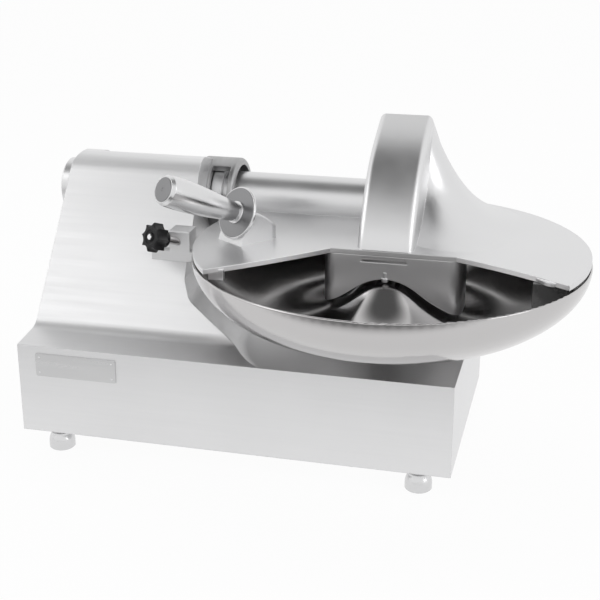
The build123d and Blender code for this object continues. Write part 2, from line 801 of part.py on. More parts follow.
def swing_radius(x):
    """Shortest way from the knife shaft line to the bowl's inside behind it, at one place along X."""
    rim_y = sqrt(max(bowl_radius ** 2 - x ** 2, 0))
    ways = [hypot(max(rim_y - shaft_behind_bowl, 0), shaft_above_rim)]
    inner, outer = bowl_curves(0)
    for k in range(curve_steps + 1):
        spot = inner @ (k / curve_steps)
        if spot.X > hypot(x, shaft_behind_bowl):
            y = sqrt(spot.X ** 2 - x ** 2)
            ways.append(hypot(y - shaft_behind_bowl, spot.Y - shaft_above_rim))
    return min(ways)


def wing(shrink):
    """Flared right wing: from the hood's height down to the rim in a sweeping curve."""
    sections = []
    for k in range(wing_steps + 1):
        share = (k / wing_steps) ** 1.4
        x = hood_right - hood_edge_radius + share * (wing_end_x - hood_right + hood_edge_radius)
        sections.append(wing_section(x, share, shrink))
    return loft(sections) & z_local(cover_radius - shrink, -sky, sky)


def swing_clearance():
    """Space behind the shaft that the bowl rim needs while the cover swings up."""
    points = []
    for k in range(-swing_steps, swing_steps + 1):
        x = swing_reach * k / swing_steps
        points.append((x, swing_radius(x) - swing_gap))
    far = knife_sweep_radius * 2
    curve = Spline(*points)
    rest = Polyline(points[-1], (swing_reach, far), (-swing_reach, far), points[0])
    face = Plane.XZ * make_face(Wire(curve.edges() + rest.edges()))
    cutter = revolve(Rot(-190, 0, 0) * face, Axis.X, revolution_arc=158)
    return Pos(0, shaft_behind_bowl, shaft_above_rim) * cutter


def handle_axis():
    """Plane whose Z runs out along the lift handle, from the middle of the guard disc."""
    lean, turn = radians(handle_rise), radians(handle_turn)
    way = Vector(-sin(turn) * cos(lean), -cos(turn) * cos(lean), sin(lean))
    return Plane((guard_x, guard_y, guard_above_rim), x_dir=(cos(turn), -sin(turn), 0), z_dir=way)


def handle_boss():
    """Wedge block on the left wing, in line with the lift handle, that carries its guard."""
    lean, turn = radians(handle_rise), radians(handle_turn)
    head = guard_above_rim + boss_head
    back = guard_thickness / cos(lean)
    foot = (tan(lean) * (plate_mid - guard_above_rim) + back, plate_mid)
    top = (tan(lean) * boss_head + back, head)
    tail = (boss_length, boss_tail)
    crown = ((top[0] + tail[0]) / 2, (top[1] + tail[1]) / 2 + boss_swell)
    rest = Polyline(tail, (boss_length, plate_mid), foot, top)
    face = make_face(Wire(ThreePointArc(top, crown, tail).edges() + rest.edges()))
    side = Plane((guard_x, guard_y, 0), x_dir=(sin(turn), cos(turn), 0), z_dir=(cos(turn), -sin(turn), 0))
    boss = extrude(side * face, boss_width / 2, both=True)
    boss = fillet(boss.edges().filter_by(Axis.Z), boss_round)
    return fillet(boss.faces().sort_by(Axis.Z)[-1].edges(), boss_round / 3)


def wing_lug():
    """Small block under the left wing's tip."""
    tip = wing_tip(wing_left_angle)
    x0 = tip[0] - 1
    y0 = tip[1] + lug_width / 2
    return block(x0, x0 + lug_width, y0, y0 + lug_depth, -lug_drop, plate_mid)


def cover():
    """Cast cover: plate, hinge tube, knife hood, flared right wing and the handle's boss."""
    body = Pos(0, 0, cover_gap) * extrude(cover_outline(), cover_plate)
    tube = local_rod(tube_left, hood_left + 2, tube_radius)
    flat = Pos((tube_round_x + hood_left) / 2 + 10, shaft_behind_bowl, cover_gap - tube_radius)
    tube -= flat * Box(hood_left - tube_round_x + 20, 4 * tube_radius, 2 * tube_radius)
    body += tube
    body += hood()
    body += wing(0)
    body += handle_boss()
    body += wing_lug()
    disc = local_rod(disc_x - hinge_disc_width, disc_x, hinge_disc_radius)
    body += disc
    body -= along_x(hood_profile(cover_wall), hood_left + cover_wall, hood_right - cover_wall)
    body -= wing(cover_wall)
    body -= local_rod(tube_left - 1, hood_left + cover_wall + 1, shaft_housing_radius + running_gap)
    body -= swing_clearance()
    return Pos(bowl_x, 0, rim_z) * body


def z_local(radius, z0, z1):
    """Upright bar about the bowl axis, in the cover's own frame."""
    return Pos(0, 0, (z0 + z1) / 2) * Cylinder(radius, z1 - z0)


def knife_guard():
    """Arched skirt under the hood that follows the bowl's inside, with turned-back ends."""
    x0, x1 = guard_left, guard_right
    front, back = guard_front, guard_front + guard_side_depth
    low = -bowl_trough_drop
    mid = Pos((x0 + x1) / 2, (front + back) / 2, (low + cover_gap) / 2)
    outside = mid * Box(x1 - x0, back - front, cover_gap - low)
    outside = fillet(outside.edges().filter_by(Axis.Z).group_by(Axis.Y)[0], guard_corner)
    t = guard_plate
    hollow = mid * Pos(0, t, 0) * Box(x1 - x0 - 2 * t, back - front, cover_gap - low + 2)
    hollow = fillet(hollow.edges().filter_by(Axis.Z).group_by(Axis.Y)[0], guard_corner - t)
    skirt = outside - hollow
    skirt -= bowl_ground(guard_clearance)
    skirt -= hood()
    skirt += Pos(guard_bolt_x, guard_front + guard_plate / 2, 0) * guard_lug()
    return Pos(bowl_x, 0, rim_z) * skirt


def guard_lug():
    """Small bolt head under the top of the arch."""
    top = -bowl_dome_drop + guard_clearance
    bolt = Pos(0, 0, top - 4) * Cylinder(guard_bolt_radius, 12)
    return bolt + Pos(0, 0, top - 7) * Cylinder(guard_bolt_radius + 1.5, 4)


def scraper():
    """Upright scraper under the right wing that keeps the bowl's wall clean."""
    far = bowl_radius
    scraper_x = bowl_radius - scraper_reach
    mid = Pos((scraper_x + far) / 2, scraper_y, -bowl_trough_drop / 2 + cover_gap / 2)
    plate = mid * Box(far - scraper_x, scraper_thickness, bowl_trough_drop + cover_gap)
    return Pos(bowl_x, 0, rim_z) * (plate - bowl_ground(scraper_clearance))


def bowl_ground(distance):
    """Everything below and outside the bowl's inner curve moved inward by a distance."""
    _, curve = bowl_curves(distance)
    start, end = curve @ 0, curve @ 1
    low = -2 * bowl_trough_drop
    far = 2 * bowl_radius
    rest = Polyline((end.X, end.Y), (end.X, 2 * tube_radius), (far, 2 * tube_radius), (far, low), (0, low),
                    (start.X, start.Y))
    return revolve(Plane.XZ * make_face(Wire(curve.edges() + rest.edges())), Axis.Z)


# Lift handle


def guard_disc():
    """Round guard behind the lift handle."""
    disc = extrude(handle_axis() * Circle(guard_radius), -guard_thickness)
    return Pos(bowl_x, 0, rim_z) * fillet(disc.edges(), 1.2)


def handle():
    """Tapered grip, thicker at its free end, with a short neck at the guard."""
    r0, r1, length = handle_root_radius, handle_end_radius, handle_length
    side = Spline((r0, 0), (r0 * 0.85 + r1 * 0.15, length * 0.08), (r0 * 0.35 + r1 * 0.65, length * 0.36),
                  (r1, length - 4))
    outline = Polyline((r1, length - 4), (r1 - 2.5, length), (0, length), (0, 0), (r0, 0))
    grip = revolve(Plane.XZ * make_face(Wire(side.edges() + outline.edges())), Axis.Z)
    return Pos(bowl_x, 0, rim_z) * (handle_axis().location * grip)


# Hubs, hinge collar, latch and small fittings


def attachment_hub():
    """Power take-off hub on the left wall, in line with the knife shaft."""
    hub = x_rod(left_x - hub_flange_thickness, left_x + 20, hub_flange_radius)
    hub -= housing_form(0)
    hub += x_rod(left_x - hub_reach, left_x, hub_radius)
    rim = hub.edges().group_by(Axis.X)[0]
    hub = chamfer(rim, 1.5)
    hub += x_rod(left_x, left_x + 20, hub_bore_radius + wall - seat_gap)
    hub -= x_rod(left_x - hub_reach - 1, left_x - hub_reach + hub_bore_depth, hub_bore_radius)
    return hub - x_rod(left_x - hub_reach, left_x + 21, shaft_socket_radius + 1)


def hinge_collar():
    """Fixed collar that shrouds the cover's hinge end, cut open at the upper front."""
    x0, x1 = right_wall_x - collar_sink, right_wall_x + collar_width
    collar = x_rod(x0, x1, collar_radius)
    collar = fillet(collar.edges().group_by(Axis.X)[-1], collar_edge_radius)
    collar -= housing_form(0)
    collar -= x_rod(x0 - 1, x1 + 1, collar_bore_radius)
    angles = (window_low, (window_low + window_high) / 2, window_high)
    corners = [on_circle(0, 0, 2 * collar_radius, 180 - angle) for angle in angles]
    sector = Pos(shaft_y, shaft_z) * make_face(Polyline((0, 0), *corners, close=True))
    return collar - along_x(sector, right_wall_x + collar_back, x1 - collar_rim)


def hinge_flange():
    """Bearing flange on the tower wall inside the collar, round the shaft housing."""
    x0, x1 = right_wall_x - collar_sink, right_wall_x + hinge_flange_width
    ring = x_rod(x0, x1, hinge_flange_radius) - housing_form(0)
    return ring - x_rod(x0 - 1, x1 + 1, shaft_housing_radius)


def nameplate():
    """Bare plate on the front."""
    x0 = left_x + nameplate_from_left
    z1 = deck_z - nameplate_below_deck
    plate = block(x0, x0 + nameplate_width, front_y - nameplate_thickness, front_y, z1 - nameplate_height, z1)
    return fillet(plate.edges().filter_by(Axis.Y), 2)


def latch_bracket():
    """Bracket on the leaning front, with the block that takes the knob's stud."""
    bracket_front_y = front_face_y(bracket_top_z) - bracket_stand
    z1 = bracket_top_z
    z0 = z1 - bracket_thickness
    bar = block(bracket_left_x, bracket_right_x, bracket_front_y, front_face_y(z1), z0, z1)
    bar = chamfer(bar.edges().filter_by(Axis.X).group_by(Axis.Y)[0], 1.5)
    top = z1 + latch_block_height
    rise = block(latch_block_x0, latch_block_x1, bracket_front_y, front_face_y(top), z0, top)
    rise = chamfer(rise.edges().filter_by(Axis.X).group_by(Axis.Y)[0].sort_by(Axis.Z)[-1], 1.5)
    bracket = bar + rise - housing_form(0)
    bracket = bracket.solids().sort_by(Axis.Y)[0]
    return bracket - stud_rod(-knob_stud_depth - 0.5, 2 * knob_stand, knob_stud_radius + running_gap)


def stud_plane():
    """Plane whose Z runs out along the star knob's stud."""
    lean, turn = radians(knob_rise), radians(knob_turn)
    way = Vector(-sin(turn) * cos(lean), -cos(turn) * cos(lean), sin(lean))
    front = front_face_y(bracket_top_z) - bracket_stand
    spot = (latch_block_x0 + latch_block_width / 3, front, bracket_top_z + latch_block_height / 2)
    return Plane(spot, x_dir=(cos(turn), -sin(turn), 0), z_dir=way)


def stud_rod(d0, d1, radius):
    """Bar along the knob's stud between two distances from the bracket's face."""
    return stud_plane().offset(d0).location * Pos(0, 0, (d1 - d0) / 2) * Cylinder(radius, d1 - d0)


def lock_knob():
    """Star knob with eight lobes."""
    root = knob_radius - knob_lobe_radius
    star = Circle(root)
    for k in range(knob_lobes):
        star += Rot(0, 0, 360 * k / knob_lobes) * Pos(root, 0) * Circle(knob_lobe_radius)
    star = extrude(star, knob_length)
    star = chamfer(star.edges().group_by(Axis.Z)[-1], 1.5)
    star += Pos(0, 0, -knob_neck / 2) * Cylinder(knob_radius - 8, knob_neck)
    star = stud_plane().offset(knob_stand).location * star
    return star - stud_rod(0, knob_stand + 10, knob_stud_radius)


def knob_stud():
    """Threaded stud that clamps the latch."""
    return stud_rod(-knob_stud_depth, knob_stand + 10, knob_stud_radius)


def control_station():
    """Plate on the left wall that carries the two push buttons."""
    x0 = left_x - station_plate
    half_y, half_z = station_width / 2, station_height / 2
    plate = block(x0, left_x, station_y - half_y, station_y + half_y, station_z - half_z, station_z + half_z)
    plate = fillet(plate.edges().filter_by(Axis.X), 8)
    for y in button_places():
        plate -= x_rod(x0 - 1, left_x + 1, button_radius + running_gap, y, station_z)
    return plate


def button_places():
    """Places of the two buttons along Y."""
    return (station_y - button_spacing / 2, station_y + button_spacing / 2)


def push_button(y):
    """Round push button that slides through the station's plate."""
    x0 = left_x - station_plate - button_stand
    button = x_rod(x0, left_x + wall + 9, button_radius, y, station_z)
    return chamfer(button.edges().group_by(Axis.X)[0], 1.2)


def control_box():
    """Switch box behind the left wall, with a pocket for each button's travel."""
    x0 = left_x + wall
    box = block(x0, x0 + 40, station_y - 44, station_y + 44, station_z - 22, station_z + 22)
    depth = 9 + button_travel + 1
    for y in button_places():
        box -= x_rod(x0 - 1, x0 + depth, button_radius + seat_gap, y, station_z)
    return box


def cable_gland():
    """Empty gland in the rear wall."""
    gland = y_rod(gland_x, rear_y - 12, rear_y + 12, gland_radius, gland_z)
    nut = extrude(RegularPolygon(gland_radius + 5, 6), 6)
    gland += Pos(gland_x, rear_y, gland_z) * Rot(-90, 0, 0) * nut
    return gland - y_rod(gland_x, rear_y - 13, rear_y + 13, gland_bore, gland_z)


def hub_screws():
    """Screws round the hub's flange."""
    screws = []
    for k in range(4):
        angle = radians(45 + 90 * k)
        y = shaft_y + 43.5 * cos(angle)
        z = shaft_z + 43.5 * sin(angle)
        x0 = left_x - hub_flange_thickness
        screws.append(x_rod(x0 - 3, x0, 4, y, z))
    return Compound(screws)


feet = {"front_left": 0, "front_right": 1, "rear_left": 2, "rear_right": 3}
for label, index in feet.items():
    x, y = foot_places()[index]
    parts["foot_" + label] = Pos(x, y, 0) * foot()
parts["housing"] = housing()
parts["bottom_plate"] = bottom_plate()
parts["nameplate"] = nameplate()
parts["attachment_hub"] = attachment_hub()
parts["hub_screws"] = hub_screws()
parts["hinge_collar"] = hinge_collar()
parts["hinge_flange"] = hinge_flange()
parts["shaft_housing"] = shaft_housing()
parts["shaft_bearings"] = bearings()
parts["drive_plate"] = drive_plate()
parts["motor"] = motor()
parts["motor_shaft"] = motor_shaft()
parts["motor_pulley"] = pulley(motor_pulley_radius, motor_shaft_radius, motor_y, motor_z)
parts["drive_belts"] = drive_belts()
parts["shaft_coupling"] = shaft_coupling()
parts["worm_shaft"] = worm_shaft()
parts["gearbox"] = gearbox()
parts["spindle_housing"] = spindle_housing()
parts["bowl"] = bowl()
parts["bowl_spindle"] = bowl_spindle()
parts["drive_pins"] = Compound(drive_pins())
parts["knife_shaft"] = knife_shaft()
parts["knife_pulley"] = pulley(knife_pulley_radius, knife_shaft_radius, shaft_y, shaft_z)
parts["knife_left"] = knife_blade(knife_left_plane, knife_angle)
parts["knife_right"] = knife_blade(knife_right_plane, knife_angle + 180)
parts["knife_spacer_inner"] = ring_on_shaft(housing_x1 + seat_gap, knife_left_plane, knife_hub_radius)
parts["knife_spacer_middle"] = ring_on_shaft(knife_left_plane + knife_thickness, knife_right_plane,
                                             knife_hub_radius)
parts["knife_nut"] = knife_nut()
parts["cover"] = cover()
parts["knife_guard"] = knife_guard()
parts["scraper"] = scraper()
parts["guard_disc"] = guard_disc()
parts["handle"] = handle()
parts["latch_bracket"] = latch_bracket()
parts["lock_knob"] = lock_knob()
parts["knob_stud"] = knob_stud()
parts["control_station"] = control_station()
parts["control_box"] = control_box()
for label, place in zip(("start", "stop"), button_places()):
    parts["button_" + label] = push_button(place)
parts["cable_gland"] = cable_gland()

os.makedirs("parts", exist_ok=True)
for name, shape in parts.items():
    export_step(shape, f"parts/{name}.step")
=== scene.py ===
"""Finishes and small pieces of a bench-top meat bowl cutter, round its solid model."""

import math

import bmesh
import bpy
from mathutils import Matrix, Vector


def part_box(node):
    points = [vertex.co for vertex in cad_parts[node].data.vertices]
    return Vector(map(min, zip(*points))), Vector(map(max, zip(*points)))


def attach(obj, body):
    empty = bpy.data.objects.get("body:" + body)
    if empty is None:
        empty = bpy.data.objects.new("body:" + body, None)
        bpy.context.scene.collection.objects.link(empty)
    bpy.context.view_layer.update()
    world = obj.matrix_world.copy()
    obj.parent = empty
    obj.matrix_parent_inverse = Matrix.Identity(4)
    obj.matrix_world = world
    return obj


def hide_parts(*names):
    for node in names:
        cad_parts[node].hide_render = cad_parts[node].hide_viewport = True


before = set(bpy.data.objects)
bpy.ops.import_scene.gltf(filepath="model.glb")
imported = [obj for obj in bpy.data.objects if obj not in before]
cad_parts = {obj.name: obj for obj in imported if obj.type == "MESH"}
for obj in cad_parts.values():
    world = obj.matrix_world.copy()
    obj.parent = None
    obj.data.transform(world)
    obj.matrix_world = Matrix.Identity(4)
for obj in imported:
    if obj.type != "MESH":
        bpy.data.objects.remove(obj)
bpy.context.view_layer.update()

bl_info = {
    "name": "Meat bowl cutter",
    "version": (1, 0, 0),
    "blender": (4, 5, 0),
    "location": "View3D > Sidebar > Bowl cutter",
    "description": "Finishes, fittings and studio of a bench-top meat bowl cutter",
    "category": "Object",
}


class CutterFinishes(bpy.types.PropertyGroup):
    """Colours and surface values of the machine's finishes."""

    satin_color: bpy.props.FloatVectorProperty(
        name="Satin steel", description="Colour of the folded housing", subtype="COLOR",
        default=(0.78, 0.78, 0.785))
    cast_color: bpy.props.FloatVectorProperty(
        name="Cast aluminium", description="Colour of the cover and the hubs", subtype="COLOR",
        default=(0.72, 0.72, 0.725))
    polished_color: bpy.props.FloatVectorProperty(
        name="Polished steel", description="Colour of the bowl and the shafts", subtype="COLOR",
        default=(0.56, 0.55, 0.55))
    turned_color: bpy.props.FloatVectorProperty(
        name="Turned metal", description="Colour of the handle and the feet", subtype="COLOR",
        default=(0.70, 0.70, 0.705))
    dark_steel_color: bpy.props.FloatVectorProperty(
        name="Dark steel", description="Colour of the guard's face and the handle's end", subtype="COLOR",
        default=(0.27, 0.27, 0.275))
    plastic_color: bpy.props.FloatVectorProperty(
        name="Black plastic", description="Colour of the star knob", subtype="COLOR",
        default=(0.008, 0.008, 0.009))
    satin_roughness: bpy.props.FloatProperty(
        name="Satin roughness", description="Roughness of the brushed sheet", default=0.46, min=0.0, max=1.0)
    cast_roughness: bpy.props.FloatProperty(
        name="Cast roughness", description="Roughness of the polished casting", default=0.33,
        min=0.0, max=1.0)
    bowl_roughness: bpy.props.FloatProperty(
        name="Bowl roughness", description="Roughness of the polished bowl", default=0.14, min=0.0, max=1.0)


class CutterSizes(bpy.types.PropertyGroup):
    """Sizes of the small fittings."""

    screw_radius: bpy.props.FloatProperty(
        name="Hub screw radius", description="Radius of the hub's screw heads", default=0.004, unit="LENGTH")
    rivet_radius: bpy.props.FloatProperty(
        name="Rivet radius", description="Radius of the plate's rivets", default=0.0013, unit="LENGTH")
    knob_radius: bpy.props.FloatProperty(
        name="Knob radius", description="Radius over the star knob's points", default=0.0185, unit="LENGTH")
    knob_points: bpy.props.IntProperty(
        name="Knob points", description="Number of points round the star knob", default=8, min=3)
    cap_radius: bpy.props.FloatProperty(
        name="Handle cap radius", description="Radius of the cap on the handle's free end", default=0.0148,
        unit="LENGTH")
    guard_face_radius: bpy.props.FloatProperty(
        name="Guard face radius", description="Radius of the dark face inside the guard's bright rim",
        default=0.0308, unit="LENGTH")


class CutterStudio(bpy.types.PropertyGroup):
    """Camera and lamps."""

    camera_place: bpy.props.FloatVectorProperty(
        name="Camera place", description="Where the camera stands", subtype="TRANSLATION",
        default=(0.3545, -1.3937, 0.7151))
    camera_azimuth: bpy.props.FloatProperty(
        name="Camera azimuth", description="Turn of the camera to the right of the front", subtype="ANGLE",
        default=math.radians(14.08))
    camera_pitch: bpy.props.FloatProperty(
        name="Camera pitch", description="Fall of the camera's line of sight", subtype="ANGLE",
        default=math.radians(19.98))
    camera_lens: bpy.props.FloatProperty(
        name="Lens", description="Focal length in millimetres on a 36 mm sensor", default=72.9)
    top_power: bpy.props.FloatProperty(
        name="Top lamp", description="Power in watts of the large lamp over the machine", default=8.0)
    side_power: bpy.props.FloatProperty(
        name="Side lamp", description="Power in watts of the lamp on the right", default=7.0)
    left_power: bpy.props.FloatProperty(
        name="Left lamp", description="Power in watts of the lamp on the left", default=8.0)
    world_strength: bpy.props.FloatProperty(
        name="Ambient", description="Strength of the soft light from all round", default=0.85)
    room_dark: bpy.props.FloatProperty(
        name="Dark ceiling", description="Brightness of the room over the machine", default=0.12,
        min=0.0, max=1.0)
    floor_white: bpy.props.FloatProperty(
        name="Floor white", description="Share of the floor that is seen as plain white", default=0.94,
        min=0.0, max=1.0)
    floor_gloss: bpy.props.FloatProperty(
        name="Floor in the gloss", description="Share of the floor that metal shows as plain white",
        default=0.85, min=0.0, max=1.0)
    floor_far: bpy.props.FloatProperty(
        name="Far floor", description="Tone that metal shows for the floor's far front end", default=0.08,
        min=0.0, max=1.0)


def finishes():
    """The scene's finishes, as the user may have changed them."""
    return bpy.context.scene.cutter_finishes


def sizes():
    """The scene's sizes of the small fittings."""
    return bpy.context.scene.cutter_sizes


def studio():
    """The scene's camera and lamp values."""
    return bpy.context.scene.cutter_studio


def new_material(name):
    """A node material, with its tree and its shader."""
    material = bpy.data.materials.new(name)
    material.use_nodes = True
    tree = material.node_tree
    shader = tree.nodes["Principled BSDF"]
    return material, tree, shader


def wire(tree, source, target):
    tree.links.new(source, target)


def combined(tree, operation, first, second, clamp=False):
    """Result of a sum, product or comparison of two values."""
    math_node = tree.nodes.new("ShaderNodeMath")
    math_node.operation = operation
    math_node.use_clamp = clamp
    wire(tree, first, math_node.inputs[0])
    wire(tree, second, math_node.inputs[1])
    return math_node.outputs["Value"]


def mapped(tree, value, source, target, smooth=False):
    """A value moved from one span to another and held inside it."""
    span = tree.nodes.new("ShaderNodeMapRange")
    if smooth:
        span.interpolation_type = "SMOOTHSTEP"
    span.inputs["From Min"].default_value = source[0]
    span.inputs["From Max"].default_value = source[1]
    span.inputs["To Min"].default_value = target[0]
    span.inputs["To Max"].default_value = target[1]
    wire(tree, value, span.inputs["Value"])
    return span.outputs["Result"]


def object_noise(tree, scale, stretch=(1.0, 1.0, 1.0), detail=6.0, roughness=0.6):
    """Noise that lies fixed in the object, stretched along its axes."""
    place = tree.nodes.new("ShaderNodeTexCoord")
    mapping = tree.nodes.new("ShaderNodeMapping")
    mapping.inputs["Scale"].default_value = stretch
    noise = tree.nodes.new("ShaderNodeTexNoise")
    noise.inputs["Scale"].default_value = scale
    noise.inputs["Detail"].default_value = detail
    noise.inputs["Roughness"].default_value = roughness
    wire(tree, place.outputs["Object"], mapping.inputs["Vector"])
    wire(tree, mapping.outputs["Vector"], noise.inputs["Vector"])
    return noise.outputs["Fac"]


noise_span = (0.3, 0.7)


def spread(tree, value, low, high):
    """A value between two limits from a noise."""
    return mapped(tree, value, noise_span, (low, high))


def shaded(tree, color, value, low, high):
    """A colour made darker and lighter by a noise."""
    mix = tree.nodes.new("ShaderNodeMix")
    mix.data_type = "RGBA"
    mix.inputs["A"].default_value = (*[c * low for c in color], 1.0)
    mix.inputs["B"].default_value = (*[c * high for c in color], 1.0)
    wire(tree, value, mix.inputs["Factor"])
    return mix.outputs["Result"]


bevel_samples = 6


def soft_edges(tree, shader, radius, height, strength, distance):
    """Rounds hard edges in the light, and adds fine relief."""
    bevel = tree.nodes.new("ShaderNodeBevel")
    bevel.samples = bevel_samples
    bevel.inputs["Radius"].default_value = radius
    bump = tree.nodes.new("ShaderNodeBump")
    bump.inputs["Strength"].default_value = strength
    bump.inputs["Distance"].default_value = distance
    wire(tree, height, bump.inputs["Height"])
    wire(tree, bevel.outputs["Normal"], bump.inputs["Normal"])
    wire(tree, bump.outputs["Normal"], shader.inputs["Normal"])


brush_scale = 260.0
sheet_cloud_scale = 7.0
metal_cloud_scale = 14.0
polish_scale = 420.0
plastic_cloud_scale = 30.0
metal_relief = 0.0001
moulded_relief = 0.0002


def brushed_metal(name, color, roughness, stretch, edge=0.0012):
    """Satin metal with long brush marks, broad cloudiness and softened edges."""
    material, tree, shader = new_material(name)
    shader.inputs["Metallic"].default_value = 1.0
    shader.inputs["Anisotropic"].default_value = 0.35
    marks = object_noise(tree, brush_scale, stretch)
    clouds = object_noise(tree, sheet_cloud_scale, detail=3.0)
    wear = spread(tree, marks, roughness - 0.05, roughness + 0.07)
    wire(tree, wear, shader.inputs["Roughness"])
    wire(tree, shaded(tree, color, clouds, 0.97, 1.04), shader.inputs["Base Color"])
    soft_edges(tree, shader, edge, marks, 0.06, metal_relief)
    return material


def polished_metal(name, color, roughness, edge=0.001, ripple=0.03):
    """Polished metal with faint ripples and a little wear in its gloss."""
    material, tree, shader = new_material(name)
    shader.inputs["Metallic"].default_value = 1.0
    clouds = object_noise(tree, metal_cloud_scale, detail=3.0)
    fine = object_noise(tree, polish_scale, detail=4.0)
    wire(tree, spread(tree, clouds, roughness - 0.03, roughness + 0.05), shader.inputs["Roughness"])
    wire(tree, shaded(tree, color, clouds, 0.97, 1.03), shader.inputs["Base Color"])
    soft_edges(tree, shader, edge, fine, ripple, metal_relief)
    return material


def moulded(name, color, roughness, grain, metallic=0.0, edge=0.0008):
    """Plastic, rubber or enamel with a fine moulded grain."""
    material, tree, shader = new_material(name)
    shader.inputs["Metallic"].default_value = metallic
    fine = object_noise(tree, grain, detail=5.0)
    clouds = object_noise(tree, plastic_cloud_scale, detail=3.0)
    wire(tree, spread(tree, clouds, roughness - 0.05, roughness + 0.06), shader.inputs["Roughness"])
    wire(tree, shaded(tree, color, clouds, 0.9, 1.12), shader.inputs["Base Color"])
    soft_edges(tree, shader, edge, fine, 0.12, moulded_relief)
    return material


def dress(material, *names):
    """Gives CAD nodes a material."""
    for name in names:
        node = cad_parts[name]
        node.data.materials.clear()
        node.data.materials.append(material)


sharp_angle = math.radians(35)


def add_piece(name, mesh_maker, material, body):
    """A mesh piece that rides on a body."""
    mesh = bpy.data.meshes.new(name)
    work = bmesh.new()
    mesh_maker(work)
    bmesh.ops.recalc_face_normals(work, faces=work.faces)
    work.to_mesh(mesh)
    work.free()
    for face in mesh.polygons:
        face.use_smooth = True
    mesh.set_sharp_from_angle(angle=sharp_angle)
    piece = bpy.data.objects.new(name, mesh)
    bpy.context.scene.collection.objects.link(piece)
    mesh.materials.append(material)
    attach(piece, body)
    return piece


def facing(place, way):
    """Matrix whose Z points along a direction from a place."""
    return Matrix.Translation(place) @ Vector(way).to_track_quat("Z", "Y").to_matrix().to_4x4()


axis_reach = 1e-7


def turned_shape(work, profile, matrix, segments=48):
    """Solid of revolution from (radius, height) points about a matrix's Z axis."""
    rings = []
    for radius, height in profile:
        if radius < axis_reach:
            rings.append([work.verts.new(matrix @ Vector((0, 0, height)))])
            continue
        ring = []
        for k in range(segments):
            angle = 2 * math.pi * k / segments
            spot = Vector((radius * math.cos(angle), radius * math.sin(angle), height))
            ring.append(work.verts.new(matrix @ spot))
        rings.append(ring)
    for low, high in zip(rings, rings[1:]):
        for k in range(segments):
            j = k + 1
            corners = [low[k % len(low)], low[j % len(low)], high[j % len(high)], high[k % len(high)]]
            unique = list(dict.fromkeys(corners))
            if len(unique) > 2:
                work.faces.new(unique)


head_segments = 36
head_side = 0.86
head_chamfer = 0.88
socket_lip = 1.02
socket_floor = 0.4
weld_distance = 1e-6


def hex_head(work, matrix, radius, height, across):
    """Screw head with a hexagon socket, whose corners lie at a given reach from the middle."""
    lip = across * socket_lip
    profile = [(0, 0), (radius, 0), (radius, height * head_side), (radius * head_chamfer, height),
               (lip, height)]
    turned_shape(work, profile, matrix, head_segments)
    half = math.pi / 6
    angles = [2 * math.pi * k / head_segments for k in range(head_segments)]
    top = []
    floor = []
    for angle in angles:
        turn = (angle + half) % (2 * half) - half
        reach = across * math.cos(half) / math.cos(turn)
        spot = Vector((reach * math.cos(angle), reach * math.sin(angle), 0))
        top.append(work.verts.new(matrix @ (spot + Vector((0, 0, height)))))
        floor.append(work.verts.new(matrix @ (spot + Vector((0, 0, height * socket_floor)))))
    rim = [work.verts.new(matrix @ Vector((lip * math.cos(angle), lip * math.sin(angle), height)))
           for angle in angles]
    for k in range(head_segments):
        j = (k + 1) % head_segments
        work.faces.new((rim[k], rim[j], top[j], top[k]))
        work.faces.new((top[k], top[j], floor[j], floor[k]))
    work.faces.new(floor)
    bmesh.ops.remove_doubles(work, verts=work.verts, dist=weld_distance)


def corners_of(name):
    """Low and high corner of a node's box."""
    return [Vector(corner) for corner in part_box(name)]


def inset_spots(low, high, inset):
    """The four (y, z) or (x, z) spots that lie inside a box's corners, from pairs of limits."""
    return [(first, second) for first in (low[0] + inset, high[0] - inset)
            for second in (low[1] + inset, high[1] - inset)]


sheet_marks = (0.02, 1.0, 1.0)
plate_tone = 0.8
plate_roughness = 0.3
plate_edge = 0.0006
rivet_inset = 0.005
rivet_profile = ((1, 0), (0.92, 0.35), (0.6, 0.62), (0, 0.75))


class CUTTER_OT_housing(bpy.types.Operator):
    """Dress the folded housing and the sheet parts on it."""

    bl_idname = "cutter.housing"
    bl_label = "Housing"

    def execute(self, context):
        values = finishes()
        satin = brushed_metal("satin_steel", values.satin_color, values.satin_roughness, sheet_marks)
        dress(satin, "housing", "bottom_plate", "latch_bracket", "control_station", "hinge_flange")
        tone = [c * plate_tone for c in values.satin_color]
        plate = brushed_metal("plate_steel", tone, plate_roughness, sheet_marks, edge=plate_edge)
        dress(plate, "nameplate")
        low, high = corners_of("nameplate")
        radius = sizes().rivet_radius

        def rivets(work):
            profile = [(across * radius, up * radius) for across, up in rivet_profile]
            for x, z in inset_spots((low.x, low.z), (high.x, high.z), rivet_inset):
                turned_shape(work, profile, facing((x, low.y, z), (0, -1, 0)), segments=20)

        add_piece("plate_rivets", rivets, satin, "base")
        return {"FINISHED"}


collar_tone = 0.55
collar_roughness = 0.36
scraper_color = (0.045, 0.045, 0.045)


class CUTTER_OT_cover(bpy.types.Operator):
    """Dress the cast cover, its skirt and its scraper."""

    bl_idname = "cutter.cover"
    bl_label = "Cover"

    def execute(self, context):
        values = finishes()
        cast = polished_metal("cast_aluminium", values.cast_color, values.cast_roughness, edge=0.0013)
        dress(cast, "cover", "knife_guard", "attachment_hub", "spindle_housing")
        tone = [c * collar_tone for c in values.cast_color]
        dull = brushed_metal("dull_cast", tone, collar_roughness, stretch=(1.0, 0.3, 0.3), edge=0.0018)
        dress(dull, "hinge_collar")
        grey = moulded("grey_plastic", scraper_color, roughness=0.3, grain=500.0, metallic=0.3)
        dress(grey, "scraper")
        return {"FINISHED"}


